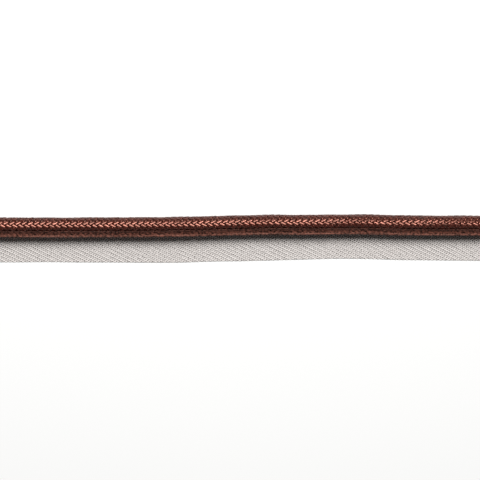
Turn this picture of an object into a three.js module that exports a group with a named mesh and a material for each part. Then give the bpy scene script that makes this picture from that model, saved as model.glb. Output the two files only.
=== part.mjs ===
// A cut length of silk lip cord: a round plaited silk cord with a satin edge, sewn along a twill
// tape, which is the lip that goes into a seam. It lies nearly straight on a table.
// Sizes are in millimetres. X runs along the cord, the lip's free edge is toward -Y, and the
// underside of the tape is at Z = 0.
import * as THREE from 'three';

// The lie of the length. Stations are 10 mm apart along X. At each one, axisY is where the cord's
// axis lies, and reach is how far the tape's free edge lies from that axis.
const stationGap = 10;
const lie = [
  { axisY: -0.39, reach: 11.05 },
  { axisY: -0.42, reach: 11.0 },
  { axisY: -0.44, reach: 10.9 },
  { axisY: -0.45, reach: 11.0 },
  { axisY: -0.36, reach: 11.1 },
  { axisY: -0.33, reach: 11.2 },
  { axisY: -0.24, reach: 11.3 },
  { axisY: -0.01, reach: 11.2 },
  { axisY: 0.24, reach: 11.3 },
  { axisY: 0.43, reach: 11.25 },
  { axisY: 0.39, reach: 10.95 },
  { axisY: 0.5, reach: 10.8 },
  { axisY: 0.51, reach: 10.9 },
  { axisY: 0.27, reach: 10.95 },
  { axisY: 0.18, reach: 10.95 },
  { axisY: 0.15, reach: 11.05 },
  { axisY: 0.14, reach: 11.1 },
];
const length = stationGap * (lie.length - 1);

// Tape: its thickness, how far it runs under the cord past the axis, and the seam zone under the
// cord, where the sewing presses it a little thinner.
const tapeThickness = 1.0;
const tapeUnderCord = 1.7;
const seamPress = 0.1;
const seamEdge = 3.3;
const seamShoulder = 0.2;

// Gap kept between pieces that touch.
const gap = 0.3;

// Cord: mean radius of the plait, height of its bundles above and below that, and the flat that it
// rests on, as a distance below the axis. Sixteen columns of bundles go round it, and each column
// has one bundle in every pitch. The first column's middle is given from the top, positive toward
// the lip.
const plaitRadius = 2.9;
const plaitRelief = 0.12;
const restDepth = 2.6;
const plaitColumns = 16;
const plaitPitch = 1.93;
const firstColumn = -25.2;

// Satin edge: a strip that hugs the cord from one angle to another, counted from the top, with a
// rolled fold along it that stands out as a thin bead, and then drops to the tape. Its upper edge
// is slanted, so its inner face starts lower. The cord is drawn in below it.
const satinRadius = 3.0;
const satinThickness = 0.55;
const satinStart = 30;
const satinInnerStart = 42;
const satinEnd = 120;
const satinInnerSteps = 4;
const satinFoot = 2.55;
const foldStart = 58;
const foldEnd = 87;
const foldRadius = 0.33;
const foldTowardLip = 3.0;
const foldHeight = 0.93;
const foldAngles = [-60, 0, 60, 120];
const drawnInRadius = satinRadius - satinThickness - gap - 0.05;
const drawnInFrom = 35;
const drawnInTo = 140;

const smoothStep = 5;
const axisZ = tapeThickness - seamPress + gap + restDepth;

// The curve through the stations. Its second coordinate is axisY and its third is reach.
const lieCurve = new THREE.CatmullRomCurve3(
  lie.map((station, i) => new THREE.Vector3(i * stationGap - length / 2, station.axisY, station.reach)),
  false,
  'catmullrom',
  0.5,
);

// A point of a section, from its distance toward the lip and its height above the axis.
function sectionPoint(station, towardLip, aboveAxis) {
  return new THREE.Vector3(station.x, station.y - towardLip, axisZ + aboveAxis);
}

// A point of a section on a circle about the axis, at an angle from the top toward the lip.
function roundPoint(station, radius, degrees) {
  const angle = THREE.MathUtils.degToRad(degrees);
  return sectionPoint(station, radius * Math.sin(angle), radius * Math.cos(angle));
}

// A closed solid through equal steps of one section along the lie. ringAt gives a section's points
// in order round it. crossed says which way the square beside a point is halved.
function runAlong(steps, ringAt, crossed = () => false) {
  const rings = [];
  for (let i = 0; i <= steps; i += 1) {
    rings.push(ringAt(lieCurve.getPoint(i / steps), i));
  }
  const count = rings[0].length;
  const faces = [];
  for (let i = 0; i < steps; i += 1) {
    for (let k = 0; k < count; k += 1) {
      const a = i * count + k;
      const b = i * count + ((k + 1) % count);
      const c = a + count;
      const d = b + count;
      if (crossed(i, k)) {
        faces.push(a, b, d, a, d, c);
      } else {
        faces.push(a, b, c, b, d, c);
      }
    }
  }
  const flat = rings[0].map((point) => new THREE.Vector2(point.y, point.z));
  for (const [a, b, c] of THREE.ShapeUtils.triangulateShape(flat, [])) {
    faces.push(a, c, b);
    faces.push(steps * count + a, steps * count + b, steps * count + c);
  }
  const positions = rings.flat().flatMap((point) => point.toArray());
  const geometry = new THREE.BufferGeometry();
  geometry.setAttribute('position', new THREE.Float32BufferAttribute(positions, 3));
  geometry.setIndex(faces);
  geometry.computeVertexNormals();
  return geometry;
}

// Whether the plait stands free at an angle, not drawn in and not resting on the tape.
function standsFree(degrees) {
  const turned = (degrees + 360) % 360;
  const rests = -Math.cos(THREE.MathUtils.degToRad(degrees)) * plaitRadius > restDepth;
  return !rests && !(turned > drawnInFrom && turned < drawnInTo);
}

// The corners of the plait's section: one on the middle of each column of bundles and one between
// two columns that both stand free. Each names the column that follows it.
function plaitCorners() {
  const corners = [];
  for (let column = 0; column < plaitColumns; column += 1) {
    const degrees = firstColumn + (column * 360) / plaitColumns;
    const next = degrees + 360 / plaitColumns;
    corners.push({ degrees, column, onMiddle: true });
    if (standsFree(degrees) && standsFree(next)) {
      corners.push({ degrees: (degrees + next) / 2, column: column + 1, onMiddle: false });
    }
  }
  return corners;
}

// The plait. Bundles stand proud by turns, half a pitch out of step from one column to the next,
// and slant one way in odd columns and the other way in even ones. Where the satin edge covers the
// cord, and where it rests on the tape, it has no relief.
function braidedCord() {
  const steps = 2 * Math.round(length / plaitPitch);
  const corners = plaitCorners();
  const ringAt = (station, i) =>
    corners.map(({ degrees, column, onMiddle }) => {
      if (!standsFree(degrees)) {
        const down = -Math.cos(THREE.MathUtils.degToRad(degrees));
        const resting = down > 0 ? restDepth / down : plaitRadius;
        const drawnIn = degrees > drawnInFrom && degrees < drawnInTo;
        return roundPoint(station, drawnIn ? drawnInRadius : resting, degrees);
      }
      const side = (i + column) % 2 === 0 ? 1 : -1;
      const radius = plaitRadius + (onMiddle ? side * plaitRelief : 0);
      return roundPoint(station, radius, degrees);
    });
  return runAlong(steps, ringAt, (i, k) => corners[k].column % 2 === 1);
}

// The satin edge. Outside it follows the cord down to the fold, goes round the fold's bead, and
// follows the cord again down to the foot. Inside it follows the drawn in cord all the way.
function satinEdge() {
  const ringAt = (station) => {
    const fold = foldAngles.map((degrees) => {
      const angle = THREE.MathUtils.degToRad(degrees);
      const towardLip = foldTowardLip + foldRadius * Math.sin(angle);
      return sectionPoint(station, towardLip, foldHeight + foldRadius * Math.cos(angle));
    });
    const inside = [];
    for (let i = 0; i <= satinInnerSteps; i += 1) {
      const degrees = THREE.MathUtils.lerp(satinEnd, satinInnerStart, i / satinInnerSteps);
      inside.push(roundPoint(station, satinRadius - satinThickness, degrees));
    }
    return [
      roundPoint(station, satinRadius, satinStart),
      roundPoint(station, satinRadius, foldStart),
      ...fold,
      roundPoint(station, satinRadius, foldEnd),
      roundPoint(station, satinRadius, (foldEnd + satinEnd) / 2),
      roundPoint(station, satinRadius, satinEnd),
      sectionPoint(station, satinFoot, -restDepth),
      sectionPoint(station, satinFoot - satinThickness, -restDepth),
      ...inside,
    ];
  };
  return runAlong(length / smoothStep, ringAt);
}

// The tape: flat below, with the lip at full thickness and the seam zone pressed thinner.
function lipTape() {
  const ringAt = (station) => {
    const top = tapeThickness;
    const pressed = tapeThickness - seamPress;
    const outline = [
      [-tapeUnderCord, pressed],
      [seamEdge, pressed],
      [seamEdge + seamShoulder, top],
      [station.z, top],
      [station.z, 0],
      [-tapeUnderCord, 0],
    ];
    return outline.map(([towardLip, height]) => sectionPoint(station, towardLip, height - axisZ));
  };
  return runAlong(length / smoothStep, ringAt);
}

function piece(name, geometry, color, roughness) {
  const mesh = new THREE.Mesh(
    geometry,
    new THREE.MeshStandardMaterial({ color, roughness, metalness: 0 }),
  );
  mesh.name = name;
  return mesh;
}

const group = new THREE.Group();
group.add(piece('lip_tape', lipTape(), 0xccc7c3, 0.9));
group.add(piece('braided_cord', braidedCord(), 0x5e382f, 0.4));
group.add(piece('satin_edge', satinEdge(), 0x4f3027, 0.35));

// The origin is under the middle of the whole length.
const box = new THREE.Box3().setFromObject(group);
group.position.y = -(box.min.y + box.max.y) / 2;
group.updateMatrixWorld(true);

export default group;
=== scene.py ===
import math

import bpy
import numpy as np
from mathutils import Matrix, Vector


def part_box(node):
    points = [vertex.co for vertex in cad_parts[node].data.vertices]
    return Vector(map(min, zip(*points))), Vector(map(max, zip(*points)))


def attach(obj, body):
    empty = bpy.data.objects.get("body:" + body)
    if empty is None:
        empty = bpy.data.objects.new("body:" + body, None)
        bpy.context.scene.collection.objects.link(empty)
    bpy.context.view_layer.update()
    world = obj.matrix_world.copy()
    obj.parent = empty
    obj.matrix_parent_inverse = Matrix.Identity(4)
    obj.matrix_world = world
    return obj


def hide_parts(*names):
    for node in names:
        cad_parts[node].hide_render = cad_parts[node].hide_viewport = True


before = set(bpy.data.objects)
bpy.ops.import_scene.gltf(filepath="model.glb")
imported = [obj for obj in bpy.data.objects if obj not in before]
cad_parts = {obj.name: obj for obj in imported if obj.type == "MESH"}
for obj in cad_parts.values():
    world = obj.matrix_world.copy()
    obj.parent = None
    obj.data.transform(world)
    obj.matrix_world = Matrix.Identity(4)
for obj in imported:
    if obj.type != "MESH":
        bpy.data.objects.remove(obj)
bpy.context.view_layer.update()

# The camera looks straight down, as the photograph does, through a long lens. The picture is 150 mm
# wide, and its middle lies a little below the cord's axis.
picture_width = 0.150
middle_below_axis = 0.00451
camera_height = 1.5
sensor_width = 36.0

# The lie of the length, as in the solids. Stations are 10 mm apart along X. The columns are where
# the cord's axis lies in Y, how far the tape's free edge lies from it, and how far the plait's
# stitches have crept along it, all in millimetres.
station_gap = 0.010
lie = 0.001 * np.array([
    (-0.39, 11.05, -0.17),
    (-0.42, 11.00, -0.17),
    (-0.44, 10.90, -0.18),
    (-0.45, 11.00, -0.20),
    (-0.36, 11.10, -0.27),
    (-0.33, 11.20, -0.38),
    (-0.24, 11.30, -0.56),
    (-0.01, 11.20, -0.75),
    (0.24, 11.30, -0.88),
    (0.43, 11.25, -0.98),
    (0.39, 10.95, -0.96),
    (0.50, 10.80, -0.89),
    (0.51, 10.90, -0.77),
    (0.27, 10.95, -0.67),
    (0.18, 10.95, -0.63),
    (0.15, 11.05, -0.60),
    (0.14, 11.10, -0.60),
])
axis_y, lip_reach, stitch_creep = lie.T
half_length = station_gap * (len(lie) - 1) / 2


def lie_at(x, values):
    """Catmull-Rom curve through the stations' values: between two stations it is the cubic that
    passes through both and has half the difference of its neighbours as its slope at each. The
    last station counts as the end of the stretch before it."""
    padded = np.concatenate([[2 * values[0] - values[1]], values, [2 * values[-1] - values[-2]]])
    just_short = 1e-6
    spot = np.clip((x + half_length) / station_gap, 0, len(values) - 1 - just_short)
    i = spot.astype(int)
    t = spot - i
    before, start, end, after = (padded[i + k] for k in range(4))
    bend = 2 * before - 5 * start + 4 * end - after
    twist = 3 * start - before - 3 * end + after
    return 0.5 * (2 * start + (end - before) * t + bend * t**2 + twist * t**3)


# The solids stand with the middle of their box at Y = 0, so the lie is moved to meet them.
solid_step = 0.005
solid_x = np.arange(-half_length, half_length + solid_step / 2, solid_step)
free_edge = lie_at(solid_x, axis_y) - lie_at(solid_x, lip_reach)
axis_y = axis_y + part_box("lip_tape")[0][1] - free_edge.min()

# The cord rests on the tape on a flat 2.6 mm below its axis.
rest_depth = 0.0026
axis_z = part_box("braided_cord")[0][2] + rest_depth

camera_data = bpy.data.cameras.new("camera")
camera_data.sensor_width = sensor_width
camera_data.lens = sensor_width * camera_height / picture_width
camera = bpy.data.objects.new("camera", camera_data)
camera.location = (0, float(axis_y.mean()) - middle_below_axis, axis_z + camera_height)
bpy.context.scene.collection.objects.link(camera)
bpy.context.scene.camera = camera


def place(x, toward_lip, above_axis):
    """Points of a section: x along the cord, then the distance from its axis toward the lip and the
    height above the axis, as one array whose last side is X, Y, Z."""
    x, toward_lip, above_axis = np.broadcast_arrays(x, toward_lip, above_axis)
    return np.stack([x, lie_at(x, axis_y) - toward_lip, axis_z + above_axis], axis=-1)


# The plait: 32 bundles of silk yarn, 16 to the right and 16 to the left, each over two and under
# two of the other hand. A braiding machine lays them round the cord, flat and close, so that each
# float swells and shines along its middle.
bundles_each_way = 16
stitch_pitch = 0.001923
lead = bundles_each_way * stitch_pitch
bundle_spacing = 2 * math.pi / bundles_each_way
first_angle = math.radians(-8.3)
first_stitch = -0.001285
float_middle = 0.25
dive = 3.0
bundle_lift = 0.00014
bundle_half_width = 0.00048
bundle_half_thickness = 0.00017

# The bed that the bundles lie on. It is drawn in under the satin edge, and less so on the flank. It
# changes over these spans, in degrees from the top toward the lip.
plait_bed = 0.00269
draw_in = 0.00090
draw_in_starts = (3, 33)
draw_in_ends = (132, 158)
flank_draw_in = 0.00056
flank_starts = (55, 85)


def ease(value, low, high):
    """0 below low, 1 above high and a smooth cubic between."""
    t = np.clip((value - low) / (high - low), 0, 1)
    return t * t * (3 - 2 * t)


def uneven(x, *waves):
    """Sum of sines along x, which makes handmade things unlike each other. Each wave is its height,
    its length divided by two pi, and its phase."""
    return sum(height * np.sin(x / length + phase) for height, length, phase in waves)


def bed_radius(angle):
    """Radius on which the bundles lie, by the angle from the top toward the lip. It is round, drawn
    in under the satin edge, less so on the flank, and flat below, where the cord rests: there it
    is the resting depth divided by the cosine from straight down."""
    degrees = np.degrees(angle) % 360
    drawn = ease(degrees, *draw_in_starts) * (1 - ease(degrees, *draw_in_ends))
    depth = draw_in + (flank_draw_in - draw_in) * ease(degrees, *flank_starts)
    radius = plait_bed - depth * drawn
    least_cosine = 0.2
    down = np.maximum(-np.cos(angle), least_cosine)
    flat = rest_depth / down - bundle_lift - bundle_half_thickness
    return np.minimum(radius, flat)


def skin(name, rings, across, along):
    """Closes a grid of rings into tubes with flat ends. rings has the shape (tubes, stations,
    points, 3). The UV map holds real millimetres: across round the ring, along down the tube."""
    tubes, stations, points = rings.shape[:3]
    index = np.arange(tubes * stations * points).reshape(tubes, stations, points)
    near, far = index[:, :-1], index[:, 1:]
    quads = np.stack([near, np.roll(near, -1, 2), np.roll(far, -1, 2), far], axis=-1)
    ends = index[:, 0, ::-1].tolist() + index[:, -1].tolist()
    mesh = bpy.data.meshes.new(name)
    mesh.from_pydata(rings.reshape(-1, 3), [], quads.reshape(-1, 4).tolist() + ends)
    u = np.stack([across[:-1], across[1:], across[1:], across[:-1]], axis=-1)
    v = np.stack([along[:, :-1], along[:, :-1], along[:, 1:], along[:, 1:]], axis=-1)
    shape = (tubes, stations - 1, points, 4)
    uv = np.stack([np.broadcast_to(u, shape), np.broadcast_to(v[:, :, None], shape)], axis=-1)
    end_uv = np.zeros(len(ends) * points * 2)
    layer = mesh.uv_layers.new(name="lay")
    layer.data.foreach_set("uv", np.concatenate([1000 * uv.ravel(), end_uv]))
    smooth = np.ones(len(mesh.polygons), dtype=bool)
    smooth[-len(ends):] = False
    mesh.polygons.foreach_set("use_smooth", smooth)
    piece = bpy.data.objects.new(name, mesh)
    bpy.context.scene.collection.objects.link(piece)
    return piece


def plait(name, hand, first):
    """Every second bundle of one hand, from the first on. Each one's middle line is a helix that
    runs straight over two bundles of the other hand, along a chord of the bed, and dives under the
    next two. A clipped cosine of its angle round the cord gives this. Two sines of unlike lengths
    leave some floats slacker than others, and two more make some plumper. Its section is an ellipse
    of ten points, the first at its underside. The map is shifted along from bundle to bundle, so
    that no two have the same streaks."""
    x = np.linspace(-half_length, half_length, 834)
    run = x - lie_at(x, stitch_creep) - first_stitch
    number = np.arange(first, bundles_each_way, 2)[:, None]
    angle = first_angle + hand * 2 * math.pi * run / lead + number * bundle_spacing
    crossing = (angle - first_angle) / bundle_spacing - float_middle
    over = hand * np.sin(math.pi / 2 * np.clip(dive * np.cos(math.pi * crossing), -1, 1))
    from_middle = bundle_spacing * ((crossing + 0.5) % 1 - 0.5)
    chord = plait_bed * (1 / np.cos(from_middle) - 1) * np.maximum(over, 0)
    slack = 1 + uneven(x, (0.35, 0.0026, 1.7 * number), (0.25, 0.0007, 3.1 * number))
    radius = bed_radius(angle) + bundle_lift * slack * over + chord
    middle = place(x, radius * np.sin(angle), radius * np.cos(angle))
    forward = np.gradient(middle, axis=1)
    forward /= np.linalg.norm(forward, axis=-1, keepdims=True)
    outward = np.stack([0 * angle, -np.sin(angle), np.cos(angle)], axis=-1)
    sideways = np.cross(outward, forward)
    sideways /= np.linalg.norm(sideways, axis=-1, keepdims=True)
    outward = np.cross(forward, sideways)
    points = 10
    turn = 2 * math.pi * (np.arange(points) - points / 4) / points
    plump = 1 + uneven(x, (0.06, 0.0017, 2.4 * number), (0.04, 0.0006, 5.1 * number))
    half_width = (bundle_half_width * plump)[:, :, None, None]
    spread = half_width * np.cos(turn)[:, None] * sideways[:, :, None]
    rise = bundle_half_thickness * np.sin(turn)[:, None] * outward[:, :, None]
    girth = 2 * math.pi * math.sqrt((bundle_half_width**2 + bundle_half_thickness**2) / 2)
    across = np.linspace(0, girth, points + 1)
    helix_slope = math.atan(2 * math.pi * plait_bed / lead)
    map_offset = 0.2 * number
    along = (x + half_length) / math.cos(helix_slope) + map_offset
    return skin(name, middle[:, :, None] + spread + rise, across, along)


def linear(code):
    """An sRGB hex colour as linear red, green, blue and alpha."""
    values = [int(code[i:i + 2], 16) / 255 for i in (1, 3, 5)]
    return [v / 12.92 if v <= 0.04045 else ((v + 0.055) / 1.055) ** 2.4 for v in values] + [1]


def add(tree, kind, settings=(), **links):
    """Adds one node, with its settings by name, and links or sets its inputs by name."""
    node = tree.nodes.new(kind)
    for name, value in dict(settings).items():
        setattr(node, name, value)
    for name, value in links.items():
        socket = node.inputs[int(name[1:]) if name[1:].isdigit() else name.replace("_", " ")]
        if isinstance(value, bpy.types.NodeSocket):
            tree.links.new(value, socket)
        else:
            socket.default_value = value
    return node


def new_material(name):
    """An empty material with its output and its shader."""
    material = bpy.data.materials.new(name)
    material.use_nodes = True
    tree = material.node_tree
    tree.nodes.clear()
    shader = add(tree, "ShaderNodeBsdfPrincipled")
    add(tree, "ShaderNodeOutputMaterial", Surface=shader.outputs["BSDF"])
    return material, tree, shader


def plaited_silk():
    """Reeled silk in flat untwisted bundles. The filaments are clear and smooth, so the shine is
    strong, runs across them and takes their own copper colour. Streaks one yarn wide run along
    each bundle, and slower clouds make some stretches darker and less glossy."""
    material, tree, shader = new_material("plaited_silk")
    lay = add(tree, "ShaderNodeUVMap", {"uv_map": "lay"}).outputs["UV"]
    yarn = 0.17
    streaks_per_mm = 0.6
    clouds_per_mm = (0.5, 0.8, 1)
    cloud_share = 0.7
    streak_map = add(tree, "ShaderNodeMapping", Vector=lay, Scale=(1 / yarn, streaks_per_mm, 1))
    streaks = add(tree, "ShaderNodeTexNoise", {"noise_dimensions": "2D"},
                  Vector=streak_map.outputs[0], Scale=1.0, Detail=2.0)
    cloud_map = add(tree, "ShaderNodeMapping", Vector=lay, Scale=clouds_per_mm)
    clouds = add(tree, "ShaderNodeTexNoise", {"noise_dimensions": "2D"},
                 Vector=cloud_map.outputs[0], Scale=1.0, Detail=1.0)
    mixed = add(tree, "ShaderNodeMath", {"operation": "MULTIPLY_ADD"},
                _0=clouds.outputs[0], _1=cloud_share, _2=streaks.outputs[0])
    colour = add(tree, "ShaderNodeValToRGB", Fac=mixed.outputs[0])
    colour.color_ramp.elements[0].position = 0.6
    colour.color_ramp.elements[0].color = linear("#190A08")
    colour.color_ramp.elements[1].position = 1.0
    colour.color_ramp.elements[1].color = linear("#491F18")
    gloss = add(tree, "ShaderNodeMapRange", Value=mixed.outputs[0], From_Min=0.6, From_Max=1.1,
                To_Min=0.36, To_Max=0.19)
    bump = add(tree, "ShaderNodeBump", Height=streaks.outputs[0], Strength=0.5, Distance=0.00004)
    across_bundle = add(tree, "ShaderNodeTangent", {"direction_type": "UV_MAP", "uv_map": "lay"})
    tree.links.new(colour.outputs[0], shader.inputs["Base Color"])
    tree.links.new(bump.outputs[0], shader.inputs["Normal"])
    tree.links.new(across_bundle.outputs[0], shader.inputs["Tangent"])
    tree.links.new(gloss.outputs[0], shader.inputs["Roughness"])
    shader.inputs["Anisotropic"].default_value = 0.6
    shader.inputs["IOR"].default_value = 1.54
    shader.inputs["Specular IOR Level"].default_value = 1.0
    shader.inputs["Specular Tint"].default_value = linear("#FFB09A")
    return material


silk = plaited_silk()
plait_right = plait("plait_right", 1, 0)
more_plait = [
    plait("plait_right_between", 1, 1),
    plait("plait_left", -1, 0),
    plait("plait_left_between", -1, 1),
]
for bundles in [plait_right] + more_plait:
    bundles.data.materials.append(silk)
    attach(bundles, "root")


# The heart of the cord is the bed that the bundles close round. It only shows as the dark between
# them and at the two plain cuts.
heart_gap = 0.00030


def heart_of_cord():
    """A tube a little inside the bundles' bed, with the same flat below."""
    x = np.linspace(-half_length, half_length, 161)
    angle = np.radians(np.arange(0, 360, 10))
    radius = bed_radius(angle) - heart_gap
    rings = place(x[:, None], radius * np.sin(angle), radius * np.cos(angle))
    across = np.linspace(0, 2 * math.pi * plait_bed, len(angle) + 1)
    return skin("cord_heart", rings[None], across, (x + half_length)[None])


def cut_silk_painted_shade():
    """The same silk darkened with painted shade, packed close, which looks like dark felt at a cut.
    Each cell of the pattern is one yarn's end, drawn twice as coarse as it is so that it shows, and
    its rim is darkened with painted shade between the yarn ends."""
    material, tree, shader = new_material("cut_silk_painted_shade")
    spot = add(tree, "ShaderNodeTexCoord").outputs["Object"]
    yarn_end = 0.00035
    cells = add(tree, "ShaderNodeTexVoronoi", Vector=spot, Scale=1 / yarn_end)
    colour = add(tree, "ShaderNodeValToRGB", Fac=cells.outputs["Distance"])
    colour.color_ramp.elements[0].color = linear("#5A382E")
    colour.color_ramp.elements[1].position = 0.7
    colour.color_ramp.elements[1].color = linear("#20120E")
    tree.links.new(colour.outputs[0], shader.inputs["Base Color"])
    shader.inputs["Roughness"].default_value = 0.8
    return material


# The heart wears the silk coloured with painted shade.
cord_heart = heart_of_cord()
cord_heart.data.materials.append(cut_silk_painted_shade())
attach(cord_heart, "root")


# The satin edge is a flat silk strip with all its threads lengthwise. It hugs the cord's lower
# flank, lets the plait show through its upper edge as ribs, stands out in a rolled fold that wavers
# a little, and is sewn down at its foot.
satin_radius = 0.0030
satin_inside = 0.00268
satin_thickness = 0.00014
satin_foot = 0.00255
foot_curve = (-0.2, 1.2)

# The spans of its outer and inner circle, in degrees from the top toward the lip.
flank_angles = (90, 120)
inside_angles = (124, 74)

# Its skirt, from the edge that is turned under down to the fold. Slopes are in degrees, spans are
# shares of the skirt's width, and the ribs start and lean in stitches.
skirt_toward_lip = 0.00130
skirt_height = 0.00228
skirt_width = 0.00152
skirt_steepest = 61
skirt_flattest = 4
turned_under = 0.00014
turned_span = (0, 0.25)
rib_height = 0.00009
rib_start = 0.25
rib_lean = 0.6
rib_fade = (0.6, 1.0)

# Its fold, with its span in degrees from its own top, how far its bead swells and rises by turns,
# and how many steps along the rise comes after the swell.
fold_radius = 0.00033
fold_toward_lip = 0.0030
fold_height = 0.00093
fold_angles = (-20, 130)
fold_swell = 0.00002
fold_rise = 0.00004
rise_lag = 37


def satin_strip():
    """The outer face leaves the plait steeply, flattens out toward the fold, goes round the fold's
    bead, follows a circle about the cord's axis and drops to the foot along the middle of a smooth
    cubic. The inner face follows a smaller circle back up to the fold's root, and then the outer
    face, one thickness below it and two at the upper edge, which is turned under. The ribs are a
    cosine of the distance in stitches and a smaller one twice as fine. They lean as the bundles do
    and fade out toward the fold. Three sines of unlike lengths make the bead waver."""
    x = np.linspace(-half_length, half_length, 668)[:, None]
    run = x - lie_at(x, stitch_creep) - first_stitch

    share = np.linspace(0, 1, 12)
    beat = 2 * math.pi * (run / stitch_pitch - rib_start - rib_lean * share)
    swell = 1 + uneven(x, (0.4, 0.0029, 0), (0.3, 0.0013, 1))
    rib = rib_height * swell * (np.cos(beat) + 0.6 * np.cos(2 * beat + 1))
    skirt_toward = skirt_toward_lip + skirt_width * share
    slope = np.tan(np.radians(skirt_steepest - (skirt_steepest - skirt_flattest) * share))
    step = skirt_toward[1] - skirt_toward[0]
    fall = step * np.append(0, np.cumsum((slope[1:] + slope[:-1]) / 2))
    skirt_above = skirt_height - fall + rib * (1 - ease(share, *rib_fade))
    turned = turned_under * (1 - ease(share, *turned_span))
    under = satin_thickness * np.sqrt(1 + slope**2) + turned

    over = np.radians(np.linspace(*fold_angles, 13))
    waver = uneven(x, (1, 0.0061, 0), (0.7, 0.0023, 1), (0.4, 0.0009, 2))
    bead = fold_radius + fold_swell * waver
    bead_toward = fold_toward_lip + bead * np.sin(over)
    bead_above = fold_height + bead * np.cos(over) + fold_rise * np.roll(waver, rise_lag, axis=0)

    flank = np.radians(np.linspace(*flank_angles, 8))
    inside = np.radians(np.linspace(*inside_angles, 9))
    low_toward = satin_radius * math.sin(flank[-1])
    low_above = satin_radius * math.cos(flank[-1])
    drop = ease(np.linspace(0, 1, 7)[1:], *foot_curve)

    fold_root = 9
    stretches = [
        (skirt_toward, skirt_above),
        (bead_toward, bead_above),
        (satin_radius * np.sin(flank), satin_radius * np.cos(flank)),
        (low_toward + (satin_foot - low_toward) * drop, low_above + (-rest_depth - low_above) * drop),
        (satin_foot - 2 * satin_thickness, -rest_depth),
        (satin_inside * np.sin(inside), satin_inside * np.cos(inside)),
        (skirt_toward[fold_root::-1], (skirt_above - under)[:, fold_root::-1]),
    ]
    toward = np.concatenate([0 * x + stretch[0] for stretch in stretches], axis=1)
    above = np.concatenate([0 * x + stretch[1] for stretch in stretches], axis=1)
    rings = place(x, toward, above)
    loop = np.append(rings[0], rings[0, :1], axis=0)
    across = np.append(0, np.cumsum(np.linalg.norm(np.diff(loop, axis=0), axis=1)))
    return skin("satin_strip", rings[None], across, x.T + half_length)


def silk_satin():
    """Warp-faced silk satin, with its threads lengthwise. It is reddish brown with fine streaks, is
    puckered in spots about 0.7 mm across by the plait below, with painted shade darkening the low
    spots of the puckers, and gleams softly on its fold."""
    material, tree, shader = new_material("silk_satin")
    lay = add(tree, "ShaderNodeUVMap", {"uv_map": "lay"}).outputs["UV"]
    thread = 0.12
    streaks_per_mm = 0.06
    puckers_per_mm = (1.5, 1.3, 1)
    pucker_share = 1.5
    streak_map = add(tree, "ShaderNodeMapping", Vector=lay, Scale=(1 / thread, streaks_per_mm, 1))
    streaks = add(tree, "ShaderNodeTexNoise", {"noise_dimensions": "2D"},
                  Vector=streak_map.outputs[0], Scale=1.0, Detail=3.0)
    pucker_map = add(tree, "ShaderNodeMapping", Vector=lay, Scale=puckers_per_mm)
    puckers = add(tree, "ShaderNodeTexNoise", {"noise_dimensions": "2D"},
                  Vector=pucker_map.outputs[0], Scale=1.0, Detail=2.0)
    mixed = add(tree, "ShaderNodeMath", {"operation": "MULTIPLY_ADD"},
                _0=puckers.outputs[0], _1=pucker_share, _2=streaks.outputs[0])
    # Painted shade: the colour ramp darkens the low spots of the puckers, and the streaks vary the
    # tone.
    streaks_and_pucker_shade = add(tree, "ShaderNodeMapRange", Value=mixed.outputs[0], From_Min=1.0, From_Max=1.5)
    colour = add(tree, "ShaderNodeValToRGB", Fac=streaks_and_pucker_shade.outputs[0])
    colour.color_ramp.elements[0].color = linear("#150A08")
    colour.color_ramp.elements[1].color = linear("#6E4338")
    bump = add(tree, "ShaderNodeBump", Height=mixed.outputs[0], Strength=0.6, Distance=0.00018)
    tree.links.new(colour.outputs[0], shader.inputs["Base Color"])
    tree.links.new(bump.outputs[0], shader.inputs["Normal"])
    shader.inputs["Roughness"].default_value = 0.38
    shader.inputs["IOR"].default_value = 1.54
    shader.inputs["Specular IOR Level"].default_value = 0.4
    shader.inputs["Specular Tint"].default_value = linear("#FFC0AC")
    return material


satin = satin_strip()
satin.data.materials.append(silk_satin())
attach(satin, "root")
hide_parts("satin_edge")


# Plait, heart and satin edge are one free length of cord with two plain cuts, which lies in the
# gentle waves of the photograph. Its route is the line of its axis.
route_x = np.linspace(-half_length, half_length, 81)
route = place(route_x, 0, 0)
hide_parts("braided_cord")


# The lip is a cotton tape in four thread twill: ends lengthwise 0.31 mm apart, picks across
# 0.66 mm apart, each end over two picks and under two, one pick later from end to end.
end_spacing = 0.000308
pick_spacing = 0.000655
ends_shown = 28
loop_reach = 0.00004
tape_under_cord = 0.0017
section_girth = 0.0274

# Its thickness, which thins between these distances from the cord's axis.
tape_at_cord = 0.00080
tape_at_edge = 0.00014
thinning = (0.0020, 0.0105)

# How high a float stands, how much its round adds to that, and how much more boldly it stands where
# the sewing gathers the tape, which also deepens the painted shade of its hollows there. That fades
# out between these distances from the cord's axis.
float_relief = 0.00007
thread_relief = 0.00004
gathered_relief = 0.7
gathered_fade = (0.0054, 0.0080)


def twill(end, pick):
    """Height of the weave above its furrows, by the number of threads passed each way. An end rises
    over two picks and goes under two as a cosine along it, and a pick does the same in between, a
    little lower and flatter. Each is a round thread. The surface is the higher of the two."""
    emerging = 0.15
    pick_relief = 0.85 * float_relief
    pick_roundness = 0.3 * thread_relief
    end_over = ease(np.cos(math.pi / 2 * (pick + np.floor(end))), emerging, 1.0)
    pick_over = ease(-np.cos(math.pi / 2 * (end + np.floor(pick))), emerging, 1.0)
    end_round = np.abs(np.sin(math.pi * end))
    pick_round = np.abs(np.sin(math.pi * pick))
    ends = end_over * (float_relief + thread_relief * end_round)
    picks = pick_over * (pick_relief + pick_roundness * pick_round)
    return np.maximum(ends, picks)


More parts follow.
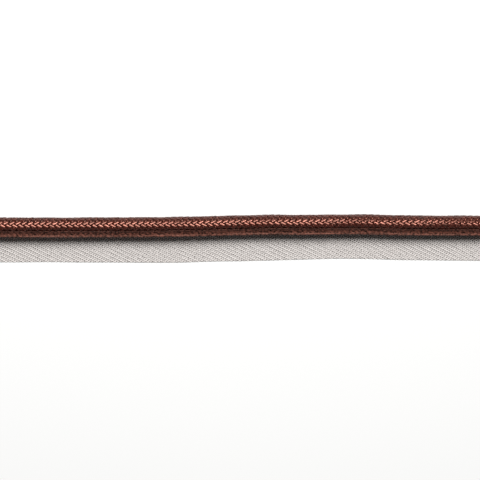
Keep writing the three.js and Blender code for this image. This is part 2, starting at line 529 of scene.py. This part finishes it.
def twill_tape():
    """A closed section with the weave's heights on its upper face, three points to an end, carried
    along the lie, four steps to a pick. It is thickest under the cord, where the sewing gathers it
    and its threads stand out more boldly, and thins to its free edge, where the weft turns back in
    small loops. Slow sines make the threads wander. The lower face is level. The attribute
    weave_height keeps how high each point is in the weave, in millimetres, spread wider about a
    middle height where the weave is bolder. The cotton's colour turns it into painted shade in the
    hollows, deeper near the cord."""
    steps_per_pick = 4
    stations = 2 * steps_per_pick * round(half_length / pick_spacing) + 1
    x = np.linspace(-half_length, half_length, stations)[:, None]
    end = (np.arange(ends_shown)[:, None] + np.array([0.03, 0.5, 0.97])).ravel()
    wander = uneven(x, (0.15, 0.0031, 0), (0.15, 0.0071, end / 3))
    loops = loop_reach * np.cos(math.pi * x / pick_spacing)
    reach = lie_at(x, lip_reach) + loops
    toward_shown = reach - end_spacing * (end + wander * ease(end, 0, 3))
    pick = x / pick_spacing + uneven(x, (0.2, 0.0043, 1), (0.2, 0.0092, end / 4))
    hidden_share = np.linspace(1, 0, 6)[1:]
    toward_hidden = (toward_shown[:, -1:] + tape_under_cord) * hidden_share - tape_under_cord
    toward_top = np.concatenate([toward_shown, toward_hidden], axis=1)[:, ::-1]
    toward_bottom = -tape_under_cord + (reach + tape_under_cord) * np.linspace(1, 0, 4)

    weave = twill(end, pick)
    bold = 1 + gathered_relief * (1 - ease(toward_shown, *gathered_fade))
    raised = np.concatenate([bold * weave, 0 * toward_hidden], axis=1)[:, ::-1]
    height_top = tape_at_cord + (tape_at_edge - tape_at_cord) * ease(toward_top, *thinning) + raised
    toward = np.concatenate([toward_top, toward_bottom], axis=1)
    height = np.concatenate([height_top, 0 * toward_bottom], axis=1)
    rings = place(x, toward, height - axis_z)
    across = np.linspace(0, section_girth, rings.shape[1] + 1)
    tape = skin("twill_tape", rings[None], across, x.T + half_length)

    # The painted shade follows weave_height. The hidden and lower faces take one plain height, so
    # they show the cotton's colour without painted shade.
    plain = float_relief + thread_relief / 2
    middle_height = 0.40 * plain
    shown = weave + (bold - 1) * (weave - middle_height)
    hidden = 0 * toward_hidden + plain
    below = 0 * toward_bottom + plain
    heights = np.concatenate([hidden, shown[:, ::-1], below], axis=1)
    relief = tape.data.attributes.new("weave_height", "FLOAT", "POINT")
    relief.data.foreach_set("value", 1000 * heights.ravel())
    return tape


def cotton_twill():
    """Unbleached cotton, matt and a warm pale grey. Its hollows are darkened with painted shade,
    which draws the twill's slanting lines, and no two threads are quite as pale as each other. The
    colours run over the weave's height in millimetres."""
    material, tree, shader = new_material("cotton_twill")
    height = add(tree, "ShaderNodeAttribute", {"attribute_name": "weave_height"}).outputs["Fac"]
    spot = add(tree, "ShaderNodeTexCoord").outputs["Object"]
    changes_per_end = 0.7
    unlikeness = 0.08
    thread_map = add(tree, "ShaderNodeMapping", Vector=spot,
                     Scale=(1 / pick_spacing, changes_per_end / end_spacing, 1))
    threads = add(tree, "ShaderNodeTexNoise", Vector=thread_map.outputs[0], Scale=1.0, Detail=2.0)
    shade = add(tree, "ShaderNodeMath", {"operation": "MULTIPLY_ADD"},
                _0=threads.outputs[0], _1=unlikeness, _2=height)
    # Painted shade: the ramp turns low heights into dark hollows and high ones into pale thread tops.
    colour = add(tree, "ShaderNodeValToRGB", Fac=shade.outputs[0])
    colour.color_ramp.elements[0].position = 0.030
    colour.color_ramp.elements[0].color = linear("#3C342F")
    colour.color_ramp.elements[1].position = 0.115
    colour.color_ramp.elements[1].color = linear("#E7E1DD")
    tree.links.new(colour.outputs[0], shader.inputs["Base Color"])
    shader.inputs["Roughness"].default_value = 0.9
    return material


tape = twill_tape()
tape.data.materials.append(cotton_twill())
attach(tape, "root")
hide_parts("lip_tape")


# The table is plain white, and one round soft light stands beyond the cord's upper side, 28 degrees
# from overhead, so that the cord's shadow falls on the lip.
def studio():
    """A white floor, a disc light and a faint even light from all round."""
    mesh = bpy.data.meshes.new("table_top")
    side = 1.5
    corners = [(-side, -side, 0), (side, -side, 0), (side, side, 0), (-side, side, 0)]
    mesh.from_pydata(corners, [], [(0, 1, 2, 3)])
    floor = bpy.data.objects.new("table_top", mesh)
    bpy.context.scene.collection.objects.link(floor)
    material, _, shader = new_material("white_card")
    shader.inputs["Base Color"].default_value = linear("#EEEEED")
    shader.inputs["Roughness"].default_value = 0.95
    mesh.materials.append(material)

    lamp = bpy.data.lights.new("soft_light", "AREA")
    lamp.shape = "DISK"
    lamp.size = 0.55
    lamp.energy = 13.8
    light = bpy.data.objects.new("soft_light", lamp)
    tilt = math.radians(28)
    light.location = (0, math.sin(tilt), math.cos(tilt))
    light.rotation_euler = (-tilt, 0, 0)
    light.visible_camera = False
    bpy.context.scene.collection.objects.link(light)

    world = bpy.data.worlds.new("room")
    world.use_nodes = True
    world.node_tree.nodes["Background"].inputs["Color"].default_value = (1, 1, 1, 1)
    world.node_tree.nodes["Background"].inputs["Strength"].default_value = 0.08
    bpy.context.scene.world = world
    bpy.context.scene.view_settings.view_transform = "Standard"


studio()
